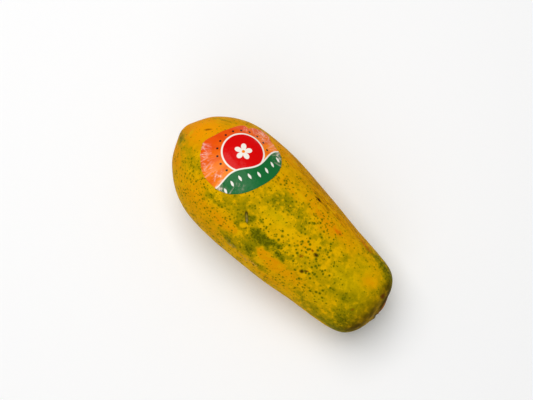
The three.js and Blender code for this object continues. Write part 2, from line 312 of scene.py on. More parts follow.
# Soft patches of colour, painted into the mesh. Each row is its place along and around, its size along
# and round the fruit in mm, and the percent that it adds to green, to orange, to specks and to others
# by name. It may also have a turn in degrees, and an edge, which makes its border crisp.
skinBase = {"green": 13, "orange": 40, "lime": 0, "specks": 65, "freckles": 0, "streaks": 10,
            "brownAndShade": 0, "red": 0, "ripe": 0, "paintedSheen": 0}
skinDrift = [(13, 2.0), (4.5, 1.2)]  # mm: size of the waves that push the patches about, and how far
softEdge = 1.2  # the edge of a patch that names none
skinPatches = [
    # the blossom end: orange, with a green flush on one side
    (14, 22, 25, 32, -10, 85, -40, {"red": 20}),
    (20, 20, 17, 14, 0, 0, 0, {"ripe": 85}),
    (36, 50, 24, 12, 0, 50, -30, {"ripe": 35}),
    (29, 43, 6, 4, 12, 0, 0, {"streaks": 40}),
    (5, -4, 6, 9, 0, 0, 0, {"red": 6, "brownAndShade": 12}),
    (22, 54, 7, 3, 22, 0, 0, {"streaks": 50}),
    (31, 52, 6, 2.5, 12, 0, 0, {"streaks": 40}),
    (7, -28, 6, 5, 50, 0, 0, {"streaks": 20}),
    (14, -52, 10, 9, -10, 35, 0),
    (25, -27, 14, 10, 12, 0, 10),
    (36, -28, 9, 9, 10, 0, 15),
    (52, -37, 10, 9, -8, 25, 0),
    (10, 130, 16, 26, 0, 50, -25),
    (3, 180, 5, 10, 15, 0, 0, {"brownAndShade": 22}),
    # the flank below the label
    (62, -42, 44, 24, -4, 10, 0, {"freckles": 22}),
    (50, -50, 20, 9, 0, 15, 0),
    (54, -38, 8, 5, 8, 0, 35),
    (67, -33, 6, 5, 30, 0, 30),
    (74, -35, 5, 2.5, 22, 0, 30, {"turn": 20}),
    (84, -23, 13, 8, 16, 0, 0),
    (95, -15, 10, 7, 18, 0, 20),
    (91, -31, 8, 6, 7, 0, 20),
    (72, -46, 13, 6, 0, 30, 10),
    (88, -47, 10, 6, -5, 40, 0),
    (101, -43, 9, 6, -10, 40, 0),
    (113, -41, 4, 3, 0, 30, 0),
    (101, -37, 3, 2.5, 30, 0, 30),
    (99, -34, 4, 3, 20, 0, 30),
    (106, -22, 3, 4, 42, 0, 0),
    (100, -26, 5, 5, 30, 0, 0),
    (113, -17, 2.5, 1.8, 50, 0, 0),
    # these two rows also paint a greyish reflection along the flank's lower edge
    (100, -57, 7, 3, 36, 0, 0, {"turn": -15, "paintedSheen": 30}),
    (107, -61, 7, 3, 26, 0, 0, {"paintedSheen": 30}),
    (76, -72, 24, 8, 0, 25, 0),
    (109, -39, 6, 8, 26, 0, 15),
    (140, -33, 5, 3.5, 16, 0, 0),
    # the dark green band, a chain of blots that breaks up into spots
    (117, -31, 6.4, 5, 60, 0, 0, {"edge": 2}),
    (122, -38, 6, 5, 42, 0, 0),
    (123, -29, 5.4, 4.4, 50, 0, 0, {"edge": 2}),
    (129, -30, 5.4, 4.4, 56, 0, 0, {"edge": 2}),
    (134, -25.5, 5.6, 3, 62, 0, 0, {"turn": 25, "edge": 2}),
    (134, -35.5, 1.6, 2.6, 35, 0, 0),
    (141, -23.5, 3.6, 2.8, 68, 0, 0, {"edge": 2}),
    (141, -30, 3, 2.2, 60, 0, 0),
    (145, -31.5, 2.6, 2.4, 55, 0, 0),
    (150, -33, 3.4, 2, 60, 0, 0, {"turn": -30}),
    (127, -24, 12, 4, 2, 0, 0, {"turn": 12, "freckles": 30}),
    # the olive patch beside it, against orange
    (117, -51, 13, 7, 27, -15, 0, {"turn": -8, "edge": 3}),
    # this row also paints a greyish reflection along the flank's lower edge
    (101, -53, 6, 5, 20, 0, 0, {"paintedSheen": 20}),
    (125, -48, 7, 6, 28, 0, 0, {"edge": 2}),
    (134, -43, 8, 5.5, -20, 50, 0, {"edge": 3}),
    (145, -46, 10, 7, -11, 50, -20),
    (157, -44, 12, 8, -6, 45, -20),
    (172, -40, 11, 8, -3, 40, -10, {"brownAndShade": 12}),
    # these two rows also paint a greyish reflection along the flank's lower edge
    (152, -68, 28, 6, -5, 35, 0, {"paintedSheen": 15}),
    (142, -63, 8, 4, 24, 0, 0, {"paintedSheen": 10}),
    (134, -60, 6, 3, 16, 0, 0),
    # these two rows only paint a greyish reflection along the flank's lower edge
    (103, -66, 18, 5, 0, 0, 0, {"paintedSheen": 50}),
    (130, -66, 14, 5, 0, 0, 0, {"paintedSheen": 45}),
    # the top: clear yellow between mottled stretches
    (122, -10, 10, 8, -8, -20, -35, {"freckles": 20}),
    (127, 0, 9, 6, -6, -20, -30, {"freckles": 20}),
    (138, -7, 10, 7, -8, -10, -30, {"freckles": 20}),
    (104, 4, 8, 8, 16, 0, 30),
    (110, 9, 8, 7, 20, 0, 0),
    (113, 17, 8, 5, 18, 0, 0),
    (119, 13, 7, 6, 18, 0, 0),
    (125, 16, 6, 5, 22, 0, 0),
    (115, 29, 6, 4, -5, 35, 0),
    (102, 31, 10, 7, -10, 25, 30),
    (134, 15, 8, 6, 14, 0, 35, {"freckles": 20}),
    (143, 14, 8, 7, 12, 0, 30, {"freckles": 50}),
    (149, 9, 7, 7, 6, 0, 30, {"freckles": 50}),
    (149, 25, 9, 6, -3, 0, 35, {"freckles": 40}),
    (132, 26, 6, 5, 10, 0, 30),
    (160, 22, 10, 8, 0, 0, 0, {"freckles": 50}),
    (138, -14, 10, 7, 0, 0, 0, {"freckles": 60}),
    (110, 28, 9, 6, 5, 0, 30),
    (152, -20, 18, 12, 0, 0, -30, {"freckles": 80}),
    (172, -14, 20, 16, 3, 0, -30, {"freckles": 100}),
    (160, 5, 14, 12, 0, 0, -20, {"freckles": 50}),
    (184, -36, 16, 10, 4, 0, -30, {"freckles": 80}),
    (177, 15, 14, 8, 10, 0, -20, {"freckles": 50}),
    (198, -22, 18, 17, 10, 0, -30, {"freckles": 55}),
    (118, -14, 8, 6, 14, 0, 0, {"freckles": 40}),
    (117, 5, 6, 4, 10, 0, 0),
    (140, 4, 7, 5, 18, 0, 0),
    (156, -28, 9, 9, 16, 0, 0),
    (158, -3, 9, 7, -16, 10, -10),
    (163, 12, 6, 5, 20, 0, 0),
    (146, -20, 6, 5, 10, 0, 0, {"freckles": 20}),
    (160, 0, 44, 26, 4, 0, 0),
    (134, -4, 16, 10, 0, 0, 0, {"lime": 25}),
    # the sunny side: orange, with long fine streaks
    (84, 62, 22, 14, 0, 35, -20, {"streaks": 35}),
    (60, 66, 34, 12, -5, 40, 0),
    (80, 64, 18, 8, -15, 0, 0, {"ripe": 90}),
    (150, 56, 36, 8, 0, 0, 0, {"ripe": 40, "red": 8}),
    (110, 68, 50, 10, 0, 30, 0),
    (170, 68, 40, 10, 0, 30, 0),
    (40, -58, 36, 13, 0, 35, 0, {"brownAndShade": 5}),
    (96, -64, 40, 8, 0, 25, 0),
    (112, 60, 30, 14, 0, 45, -30, {"streaks": 45}),
    (150, 62, 32, 14, 0, 50, -35, {"streaks": 50}),
    (186, 62, 20, 12, 0, 40, -35, {"streaks": 55}),
    (142, 48, 28, 5, 0, 15, 0, {"turn": 3, "streaks": 50}),
    (120, 82, 26, 12, 0, 30, 0, {"streaks": 25}),
    (140, 35, 18, 8, -8, 40, 0),
    (157, 30, 14, 9, -12, 40, 0),
    (169, 49, 14, 4, 0, 0, 0, {"ripe": 30, "red": 12}),
    (90, 53, 10, 5, 0, 0, 0, {"ripe": 50, "red": 6}),
    (170, 36, 7, 3.4, 0, 0, 0, {"turn": 8, "red": 34}),
    (165, 37, 9, 5, 0, 40, 0, {"red": 12}),
    (181, 37, 12, 7, -4, 30, -20),
    (192, 58, 12, 4, 0, 0, 0, {"turn": 8, "red": 25, "brownAndShade": 5}),
    (202, 55, 9, 3, 0, 0, 0, {"turn": 8, "red": 35, "brownAndShade": 16}),
    # the stem end: olive, darker round the stalk; its olive and brown are partly painted shade on the
    # end
    (196, 8, 10, 11, 6, 0, -20),
    (190, 20, 4, 4, 20, 0, 0),
    (206, 0, 14, 16, 0, -20, -35, {"lime": 70}),
    (189, 7, 11, 11, -7, 0, 0, {"lime": 40}),
    (208, 32, 14, 8, 0, 0, -40, {"lime": 60}),
    (226, -14, 14, 20, 0, 0, -40, {"lime": 60}),
    (200, -42, 15, 13, -12, 0, 0, {"lime": 50}),
    (118, -2, 10, 7, 0, -15, 0, {"lime": 45}),
    (108, -10, 8, 8, 0, 0, 0, {"lime": 35}),
    (203, -21, 4, 3, 35, 0, 0),
    (215, -16, 5, 4, 42, 0, 0),
    (222, -8, 6, 5, 16, 0, 0),
    (221, 22, 8, 6.5, -16, 45, -40),
    (188, -60, 8, 6, 28, 0, 0),
    (202, -61, 9, 5, 18, 0, 0),
    (203, -74, 18, 6, 20, 0, 0),
    (216, -46, 13, 9, 14, 0, 0, {"freckles": 20}),
    (220, -67, 14, 8, 22, 0, 0),
    (232, -78, 12, 7, 30, 0, 0, {"brownAndShade": 8}),
    (225, -30, 9, 12, 20, 0, 0, {"freckles": 30}),
    (233, -54, 10, 14, 26, 0, 0, {"brownAndShade": 24}),
    (235, -12, 11, 24, 15, 0, -30, {"edge": 0.9, "brownAndShade": 30}),
    (244, -36, 6, 14, 0, -30, -40, {"edge": 0.9, "brownAndShade": 34}),
    (222, 56, 16, 5, 30, 0, 0),
    (226, 72, 14, 9, 30, 0, 0, {"brownAndShade": 6}),
    (219, 12, 6, 5, 0, 0, 0, {"brownAndShade": 16}),
    (230, 58, 12, 8, 20, 0, 0, {"brownAndShade": 6}),
    (204, 55, 9, 7, 8, 0, 0, {"brownAndShade": 14}),
    (238, 50, 6, 6, 25, -30, 0, {"brownAndShade": 42}),
    (239, 36, 7, 7, 15, -30, 0, {"brownAndShade": 40}),
    (243, 0, 6, 20, 0, -30, -40, {"edge": 0.8, "brownAndShade": 42}),
    (248, 16, 3.5, 26, 0, 60, 0, {"edge": 0.8, "brownAndShade": -5, "ripe": 35, "red": 12}),
    (239, -58, 6, 8, 0, 0, 0, {"brownAndShade": 32}),
    # the side that it lies on, and the side away from the label
    (60, 120, 40, 18, 5, 40, 0),
    (84, 98, 20, 12, 24, 0, 20),
    (100, 106, 9, 5, 30, 0, 0, {"turn": 20, "edge": 2}),
    (95, 150, 24, 16, 26, 0, 0),
    (172, 92, 16, 9, 26, -20, 0, {"turn": -15}),
    (196, 108, 18, 12, 30, 0, 0, {"lime": 30}),
    (128, 124, 22, 10, -6, 35, 0),
    (40, 92, 14, 9, 16, 0, 0, {"streaks": 20}),
    (130, 178, 34, 14, -10, 30, 0),
    (70, -150, 26, 18, 20, 0, 0, {"freckles": 30}),
    (150, 125, 30, 14, 0, 35, 0, {"streaks": 40}),
    (150, 100, 24, 12, 0, 0, -20, {"freckles": 50}),
    (165, -130, 22, 14, 0, 50, 0),
    (176, -110, 30, 16, 0, 0, -20, {"freckles": 70}),
    (110, -112, 24, 10, 30, 0, 0),
    (124, -104, 12, 5, 30, 0, 0, {"edge": 2}),
    (60, -100, 26, 14, 0, 30, 0),
    (205, 140, 24, 18, 34, 0, 0),
    (210, -150, 22, 16, 26, 0, 0),
    (180, 172, 16, 10, 34, 0, 0),
    (33, 175, 16, 14, 18, 0, 10),
    (238, 110, 9, 20, 45, 0, 0, {"brownAndShade": 15}),
    (240, -130, 9, 24, 40, 0, 0, {"brownAndShade": 20}),
    (241, 180, 7, 16, 45, 0, 0, {"brownAndShade": 20}),
]
stalkRing = {"radius": 12, "width": 6, "brownAndShade": 22, "green": 10}  # dull darker skin close round the stalk, partly painted shade


def paintSkin(skin):
    points = readPoints(skin)
    places = placesOf(points)
    drift = np.zeros((2, len(points)))
    for order, (size, far) in enumerate(skinDrift):
        for side in (0, 1):
            drift[side] += noiseAt(points, size, order=20 + 2 * order + side) * far
    channels = {name: np.full(len(points), percent / 100) for name, percent in skinBase.items()}
    for along, around, length, width, green, orange, specks, *others in skinPatches:
        amounts = dict(*others, green=green, orange=orange, specks=specks)
        turn = math.radians(amounts.get("turn", 0))
        forward, sideways = awayFrom(places, (along, around)) + drift
        u = (forward * math.cos(turn) + sideways * math.sin(turn)) / length
        v = (sideways * math.cos(turn) - forward * math.sin(turn)) / width
        weight = np.exp(-((u * u + v * v) ** amounts.get("edge", softEdge)))
        for name in channels:
            channels[name] += amounts.get(name, 0) / 100 * weight
    away = np.linalg.norm(ownPoints(points) - stalkStub["centre"], axis=1) + drift.sum(axis=0) * 0.5
    weight = np.exp(-(((away - stalkRing["radius"]) / stalkRing["width"]) ** 2))
    for name, values in channels.items():
        setAttribute(skin, name, np.clip(values + stalkRing.get(name, 0) / 100 * weight, 0, 1))


skinMarks = [
    # place and size as above, turn, colour, colour of its rim, strength, and depth in mm
    (101.8, -23.4, 4.6, 1.4, -43, "#6b5f2c", "#3f3c05", 0.9, 0.55),  # a corky scar and what is in it
    (99.3, -20.8, 1.7, 1.3, -60, "#453612", "#4a4604", 0.85, 0.2),
    (101, -22.6, 1.9, 0.5, -40, "#97832f", None, 0.6, -0.15),
    (104, -25.9, 1.8, 0.8, -48, "#8f8460", "#6f6538", 0.7, -0.15),
    (138, 47, 2.6, 1.3, 0, "#170d05", "#6b3a04", 1, 0.8),  # a nick with its tail
    (135, 46, 2.6, 0.7, 8, "#6b3a04", None, 0.4, 0.1),
    (21, 23, 3.2, 1, 35, "#8a4a04", None, 0.7, 0.1),  # flecks and dark spots
    (170, -3, 2.1, 1.6, 0, "#3a2204", "#565004", 0.9, 0.25),
    (171, -28, 1.9, 1.5, 30, "#402803", "#565004", 0.9, 0.25),
    (174, -24, 1.6, 0.7, 40, "#5c3404", None, 0.8, 0.1),
    (161, -15, 1.7, 1, 50, "#7a3c05", None, 0.6, 0.1),
    (165, -2, 1.2, 0.8, 0, "#6e3805", None, 0.7, 0.1),
    (240, 28, 3, 2, 50, "#663005", None, 0.75, 0.3),
    (228, -22, 1.6, 0.8, 70, "#8a5a04", None, 0.7, 0.2),
]
skinLobes = [
    # the stem end's low lobes: place and size as above, and height in mm
    (240, 52, 11, 10, 1.0),
    (235, -56, 15, 14, 1.6),
    (242, 122, 12, 12, 1.2),
    (242, -124, 12, 12, 1.3),
    (241, 180, 12, 11, 1.0),
]
skinRelief = [
    # size in mm, share of that along the fruit, height in mm, channel that it follows
    (36, 1, 0.55, None),
    (12, 1, 0.14, None),
    (4.2, 0.13, 0.2, "streaks"),
]
markReach = 10  # mm: a mark presses in only the skin this near to it


def markAxes(tree, along, around, turn):
    # a mark's middle and its turned axes on the skin: along the fruit, across and out
    point, normal, _ = skinPlace(tree, along, around)
    forward = lying.to_3x3() @ Vector((1, 0, 0))
    forward = (forward - normal * forward.dot(normal)).normalized()
    forward = Matrix.Rotation(math.radians(turn), 3, normal) @ forward
    return point, Matrix((forward, normal.cross(forward), normal)).transposed()


def reliefSkin(skin):
    tree = treeOf(skin)
    points, normals = readPoints(skin), readPoints(skin, "normal")
    lift = np.zeros(len(points))
    for order, (size, stretch, height, channel) in enumerate(skinRelief):
        waves = noiseAt(points, size, stretch, order) * height
        if channel:
            values = np.zeros(len(points), np.float32)
            skin.data.attributes[channel].data.foreach_get("value", values)
            waves *= values
        lift += waves
    places = placesOf(points)
    for along, around, length, width, height in skinLobes:
        forward, sideways = awayFrom(places, (along, around))
        lift += height * np.exp(-((forward / length) ** 2) - (sideways / width) ** 2)
    for along, around, length, width, turn, _, _, _, depth in skinMarks:
        middle, axes = markAxes(tree, along, around, turn)
        local = (points - np.array(middle)) @ np.array(axes) / mm
        pressed = np.exp(-((local[:, 0] / length) ** 2) - (local[:, 1] / width) ** 2)
        lift -= depth * pressed * (np.abs(local[:, 2]) < markReach)
    points += normals * lift[:, None] * mm
    points[:, 2] = np.maximum(points[:, 2], 0)  # flat where it rests on the floor
    setPoints(skin, points)


# A ripe papaya's rind: a thin waxy cuticle over green cells that turn yellow and orange in clouds. It
# looks smooth and satin, with no sparkle, and green stays longest in patches and in dots round pores.
rindClouds = {
    # name: size in mm, detail, roughness, share of the size that it keeps across the fruit's length
    "broad": (24, 3, 0.5, 1),
    "middle": (8, 4, 0.6, 1),
    "haze": (4.2, 3, 0.55, 1),
    "fine": (2.2, 3, 0.6, 1),
    "long": (1.5, 4, 0.6, 0.09),
}
rindLayers = [
    # a channel times its clouds, which are 1 on average, gives a field: the values of it at which the
    # colour begins and is full, the colour and its strength
    ("orange", {"broad": 1.4, "middle": 2.6, "haze": 2}, 0.08, 0.85, "#de9c01", 1),
    ("orange", {"broad": 1, "middle": 1.2, "haze": 1}, 0.7, 1.2, "#df9101", 0.85),
    ("lime", {"middle": 2, "haze": 1.4}, 0.1, 0.8, "#bfa401", 0.9),
    ("green", {"haze": 4, "middle": 3.5, "broad": 2}, 0.03, 0.32, "#b39501", 0.8),
    ("green", {"broad": 1, "middle": 2, "haze": 1.6}, 0.14, 0.52, "#8d7f01", 0.88),
    ("green", {"middle": 2, "haze": 1.6, "fine": 2}, 0.38, 0.8, "#757002", 0.9),
    ("green", {"fine": 8, "haze": 1.5}, 0.42, 1.25, "#464902", 0.68),
    ("ripe", {"middle": 1.5, "broad": 1}, 0.1, 1, "#f39a03", 0.9),
    ("streaks", {"long": 7, "middle": 2}, 0.4, 1.3, "#986401", 0.6),
    ("red", {"middle": 0.8, "long": 1.2}, 0.12, 0.6, "#dd6607", 0.85),
    # real brown marks, and painted shade that darkens the stem end
    ("brownAndShade", {"middle": 0.8, "haze": 0.4}, 0, 0.95, "#503c02", 1),
    # a painted reflection: a greyish sheen along the lower edge of the flank
    ("paintedSheen", {"long": 4, "fine": 2}, 0.5, 1, "#7d705e", 0.6),
]
rindDots = [
    # channel, size of the cell round each dot and the dot's largest radius with its halo, both in mm,
    # strength, shade, and if the dots come in groups
    ("green", 2.2, 1.7, 0.75, "dot", True),
    ("specks", 3.0, 2.4, 0.82, "dot", True),
    ("specks", 6.4, 1.9, 0.9, "brownDot", True),
    ("freckles", 3.9, 2.6, 1, "dot", False),
]
rindFinish = {
    "yellow": "#deac01",
    "halo": "#998801",  # of a dot
    "dot": "#5a5d03",
    "brownDot": "#5c3d04",
    "smallest": 0.6,  # dot, as a share of the largest
    # a dot is 0 at its rim and 1 at its middle: where each shade begins and is full, and how strong
    "haloRamp": (0.05, 0.5, 0.5),
    "dotRamp": (0.25, 0.75, 0.95),
    "dotRise": -0.4,  # a dot is a little hollow
    # the same for a mark's rim and middle, which are 1 at its size
    "rimRamp": (1.7, 0.9, 0.7),
    "markRamp": (1.1, 0.4, 1),
    "markHeight": 4,  # mm off the skin at which a mark ends
    "groups": (0.36, 0.62, 0.15, 1.5),  # clouds from and to, and how they shrink or grow the dots
    "wobble": (1.3, 0.5),  # mm: size of the waves that push outlines about, and how far
    "roughness": (0.42, 0.55),
    "specular": 0.006,
    "pore": 0.9,
    "depth": 0.05,
    "strength": 1,
}


def makeRind(skin):
    tree = newMaterial(skin, "waxyPapayaRind")
    skinTree = treeOf(skin)
    coords = addNode(tree, "TexCoord")["Object"]
    channels = {name: addNode(tree, "Attribute", attribute_name=name)["Fac"] for name in skinBase}
    clouds = {}
    for name, (size, detail, roughness, share) in rindClouds.items():
        spot = addNode(tree, "Mapping", {"Vector": coords, "Scale": (share, 1, 1)})[0]
        inputs = {"Vector": spot, "Scale": 1 / (size * mm), "Detail": detail, "Roughness": roughness}
        clouds[name] = addNode(tree, "TexNoise", inputs)[0]

    colour = linear(rindFinish["yellow"])
    for channel, shares, start, full, shade, strength in rindLayers:
        field = 1 - sum(shares.values()) / 2
        for name, share in shares.items():
            field = addNode(tree, "Math", [clouds[name], share, field], operation="MULTIPLY_ADD")[0]
        field = addNode(tree, "Math", [field, channels[channel]], operation="MULTIPLY")[0]
        colour = layColour(tree, colour, shade, field, start, full, strength)

    # dots round the pores, one in each cell, of its own size and with an outline that is pushed about
    size, far = rindFinish["wobble"]
    push = addNode(tree, "TexNoise", {"Vector": coords, "Scale": 1 / (size * mm), "Detail": 1})["Color"]
    inputs = [push, (far * mm,) * 3, coords]
    wobbled = addNode(tree, "VectorMath", inputs, operation="MULTIPLY_ADD")[0]
    crowd = addNode(tree, "MapRange", [clouds["middle"], *rindFinish["groups"]])[0]
    dots = 0.0
    for channel, cell, radius, strength, shade, grouped in rindDots:
        cells = addNode(tree, "TexVoronoi", {"Vector": wobbled, "Scale": 1 / (cell * mm)})
        chance = addNode(tree, "SeparateColor", [cells["Color"]])[0]
        share = radius / cell
        inputs = [chance, 0.0, 1.0, rindFinish["smallest"] * share, share]
        largest = addNode(tree, "MapRange", inputs)[0]
        grown = channels[channel]
        for operation, other in (
            ("MULTIPLY", crowd if grouped else 1),
            ("POWER", 0.5),
            ("MULTIPLY", largest),
            ("MAXIMUM", 0.001),
        ):
            grown = addNode(tree, "Math", [grown, other], operation=operation)[0]
        inside = addNode(tree, "MapRange", [cells["Distance"], grown, 0.0, 0.0, strength])[0]
        dots = addNode(tree, "Math", [inside, dots], operation="MAXIMUM")[0]
        for part, ramp in (("halo", "haloRamp"), (shade, "dotRamp")):
            part = rindFinish[part]
            colour = layColour(tree, colour, part, inside, *rindFinish[ramp], blend="DARKEN")

    # single marks, each an ellipse in its own axes on the skin, with a darker rim where it is deep
    for along, around, length, width, turn, shade, rim, strength, _ in skinMarks:
        middle, axes = markAxes(skinTree, along, around, turn)
        size = Vector((length, width, rindFinish["markHeight"])) * mm
        inputs = [wobbled, middle, axes.to_euler(), size]
        local = addNode(tree, "Mapping", inputs, vector_type="TEXTURE")[0]
        reach = addNode(tree, "VectorMath", [local], operation="LENGTH")["Value"]
        for part, ramp in ((rim or shade, "rimRamp"), (shade, "markRamp")):
            start, full, share = rindFinish[ramp]
            colour = layColour(tree, colour, part, reach, start, full, share * strength)

    pores = addNode(tree, "TexVoronoi", {"Vector": wobbled, "Scale": 1 / (rindFinish["pore"] * mm)})
    height = addNode(tree, "Math", [clouds["fine"], pores["Distance"]], operation="ADD")[0]
    inputs = [dots, rindFinish["dotRise"], height]
    height = addNode(tree, "Math", inputs, operation="MULTIPLY_ADD")[0]
    addShader(tree, colour, rindFinish, height, clouds["middle"])


def makePlug(name, facts):
    # a round plug with its top at z = 0, which is inset and raised or sunk in steps
    makeActive()
    radius, height = facts["radius"] * mm, facts["height"] * mm
    bpy.ops.mesh.primitive_cylinder_add(
        vertices=facts["sides"], radius=radius, depth=height, location=(0, 0, -height / 2)
    )
    plug = bpy.context.object
    plug.name = name
    bpy.ops.object.transform_apply(location=True, rotation=True, scale=True)
    editFaces(plug, lambda face: face.normal.z < -0.9)
    bpy.ops.transform.resize(value=(facts["flare"], facts["flare"], 1))
    editFaces(plug, lambda face: face.normal.z > 0.9)
    for inset, rise in facts["steps"]:
        bpy.ops.mesh.inset(thickness=inset * mm)
        bpy.ops.transform.translate(value=(0, 0, rise * mm))
    bpy.ops.mesh.poke()
    bpy.ops.object.mode_set(mode="OBJECT")
    applyModifier(plug, "SUBSURF", levels=2, render_levels=2)
    return plug


stalkStub = {
    "centre": (247.9, 11, 4.5),  # middle of the cut face: along the fruit, across it and up
    "turn": 13,  # degrees that the cut face looks to +Y
    "radius": 10.2,
    "height": 7,
    "flare": 1.078,  # its root is that much wider
    "sides": 64,
    # insets in mm and their rise: the bark's rounded crest, its inner edge and the sunken pith
    "steps": [(0.765, 0.35), (0.935, -0.5), (1.4, -0.525), (1.4, -0.525), (1.4, -0.3), (1.4, -0.15)],
    # size and height in mm, and the shares of the radius where they begin and are full
    "lumps": (5.5, 0.8, 0.5, 0.95),
    "fibres": (1.4, 0.28, 1.0, 0.6),
    "fibreStretch": 0.3,  # they run through the stalk
    "rim": (0.72, 0.93),  # where the bark begins and is full, as a share of the radius
    "flank": (-0.2, -1.3),  # mm: height at which the flank's colour begins and is full
}
skinCollar = {
    "below": 0.9,  # mm: the skin rises to just under the cut face
    "width": 7,
    "hollow": 3,  # mm that it is hollow under the stub
    "hollowEdge": (0.5, 3),  # mm inside the stub's rim
    "reach": 25,  # mm down the fruit
}


def stubPlace():
    turned = Matrix.Rotation(math.radians(stalkStub["turn"]), 4, "Z")
    facing = Matrix.Rotation(math.radians(90), 4, "Y")  # the plug's top looks along +X
    return lying @ Matrix.Translation(Vector(stalkStub["centre"]) * mm) @ turned @ facing


def seatStub(skin):
    # the stub stands in a low collar of skin, which is hollow under it
    points = readPoints(skin)
    place = stubPlace()
    local = (np.c_[points, np.ones(len(points))] @ np.array(place.inverted()).T) / mm
    away, radius = np.hypot(local[:, 0], local[:, 1]), stalkStub["radius"]
    share = smoothStep(away, radius + skinCollar["width"], radius)
    share *= local[:, 2] > -skinCollar["reach"]
    outer, inner = skinCollar["hollowEdge"]
    hollow = skinCollar["hollow"] * smoothStep(away, radius - outer, radius - inner)
    rise = (-skinCollar["below"] - hollow - local[:, 2]) * share * mm
    setPoints(skin, points + rise[:, None] * np.array(place.to_3x3().col[2]))


def makeStub():
    stub = makePlug("stalkStub", stalkStub)
    points = readPoints(stub)
    across = np.hypot(points[:, 0], points[:, 1]) / (stalkStub["radius"] * mm)
    size, height, start, full = stalkStub["lumps"]
    lift = noiseAt(points, size, order=4) * height * smoothStep(across, start, full)
    size, height, start, full = stalkStub["fibres"]
    drawn = points * (1, 1, stalkStub["fibreStretch"])
    lift += noiseAt(drawn, size, order=5) * height * smoothStep(across, start, full)
    setPoints(stub, points + readPoints(stub, "normal") * (lift * mm)[:, None])
    setAttribute(stub, "rim", smoothStep(across, *stalkStub["rim"]))
    setAttribute(stub, "flank", smoothStep(points[:, 2] / mm, *stalkStub["flank"]) * (across > 0.9))
    applyPlace(stub, stubPlace())
    return stub


# The cut stalk is soft wood that has dried in the air: matt, corky and orange-brown on its bark ring,
# darker and fibrous in the sunken pith, with pale crumbs of dried latex.
stubWood = {
    "bark": "#b96f10",
    "barkDark": "#80470a",
    "flank": "#5e4a06",
    "pith": "#5d3c16",
    "pithDark": "#2c1b0a",
    "latex": "#b79a68",
    "mottle": (3.2, 5, 0.65),  # size in mm, detail and roughness
    "crumbs": (0.7, 3, 0.7),
    "darkClouds": (0.36, 0.64),  # clouds that the dark shades begin and are full in
    "crumbEdge": (0.58, 0.7, 0.55),  # the same for the latex, and how strong it is
    "roughness": 0.72,
    "specular": 0.25,
    "depth": 0.3,
    "strength": 0.8,
}


def makeStubWood(stub):
    tree = newMaterial(stub, "driedStalkWood")
    coords = addNode(tree, "TexCoord")["Object"]
    grains = []
    for size, detail, roughness in (stubWood["mottle"], stubWood["crumbs"]):
        inputs = {"Vector": coords, "Scale": 1 / (size * mm), "Detail": detail, "Roughness": roughness}
        grains.append(addNode(tree, "TexNoise", inputs)[0])
    mottle, crumbs = grains
    rim, flank = (addNode(tree, "Attribute", attribute_name=name)["Fac"] for name in ("rim", "flank"))
    dark = stubWood["darkClouds"]
    pith = layColour(tree, linear(stubWood["pith"]), stubWood["pithDark"], mottle, *dark)
    bark = layColour(tree, linear(stubWood["bark"]), stubWood["barkDark"], mottle, *dark)
    colour = layColour(tree, pith, bark, rim, 0, 1, ramp="LINEAR")
    colour = layColour(tree, colour, stubWood["flank"], flank, 0, 1, ramp="LINEAR")
    colour = layColour(tree, colour, stubWood["latex"], crumbs, *stubWood["crumbEdge"])
    height = addNode(tree, "Math", [mottle, crumbs], operation="ADD")[0]
    addShader(tree, colour, stubWood, height)


# At the other end the flower has left a small star-shaped scar.
blossomScar = {
    "below": 22,  # degrees that it sits below the end of the axis
    "from": 20,  # mm along the axis, where that angle is taken
    "radius": 2.9,
    "height": 2.6,
    "flare": 1.25,
    "proud": 0.4,  # how far it stands out of the skin
    "sides": 40,
    "steps": [(0.5, 0.3), (0.6, -0.15), (0.6, -0.35), (0.5, -0.1), (0.4, 0.35)],
    "star": (5, 0.12),  # points and how far they reach, as a share of the radius
    "uneven": (3.1, 0.14),  # mm, and how far its outline wanders, as a share of the radius
    "lumps": (1.7, 0.3),  # size and height in mm
    "rim": (0.45, 0.9),
}


def makeScar(skin):
    scar = makePlug("blossomScar", blossomScar)
    points = readPoints(scar)
    star, reach = blossomScar["star"]
    spread = 1 + reach * np.cos(star * np.arctan2(points[:, 1], points[:, 0]))
    size, lumps = blossomScar["lumps"]
    lift = noiseAt(points, size, order=6) * lumps
    points[:, :2] *= spread[:, None]
    size, uneven = blossomScar["uneven"]
    points[:, :2] *= 1 + uneven * noiseAt(points, size, order=8)[:, None]
    setPoints(scar, points + readPoints(scar, "normal") * (lift * mm)[:, None])
    across = np.hypot(points[:, 0], points[:, 1]) / (blossomScar["radius"] * mm)
    setAttribute(scar, "rim", smoothStep(across, *blossomScar["rim"]))
    below = math.radians(blossomScar["below"])
    outwards = lying.to_3x3() @ Vector((-math.cos(below), 0, -math.sin(below)))
    spot, normal = treeOf(skin).ray_cast(lying @ Vector((blossomScar["from"] * mm, 0, 0)), outwards)[:2]
    turned = normal.to_track_quat("Z", "Y").to_matrix().to_4x4()
    applyPlace(scar, Matrix.Translation(spot + normal * blossomScar["proud"] * mm) @ turned)
    return scar


# The blossom scar is dry dead cork: matt, cracked and dark, greyer on its points.
scarCork = {
    "heart": "#23160a",
    "points": "#54391a",
    "pale": "#7d6340",
    "paleClouds": (0.5, 0.68, 0.7),  # clouds that it begins and is full in, and how strong
    "grain": (0.9, 4, 0.65),  # size in mm, detail and roughness
    "roughness": 0.8,
    "specular": 0.2,
    "depth": 0.25,
    "strength": 0.8,
}


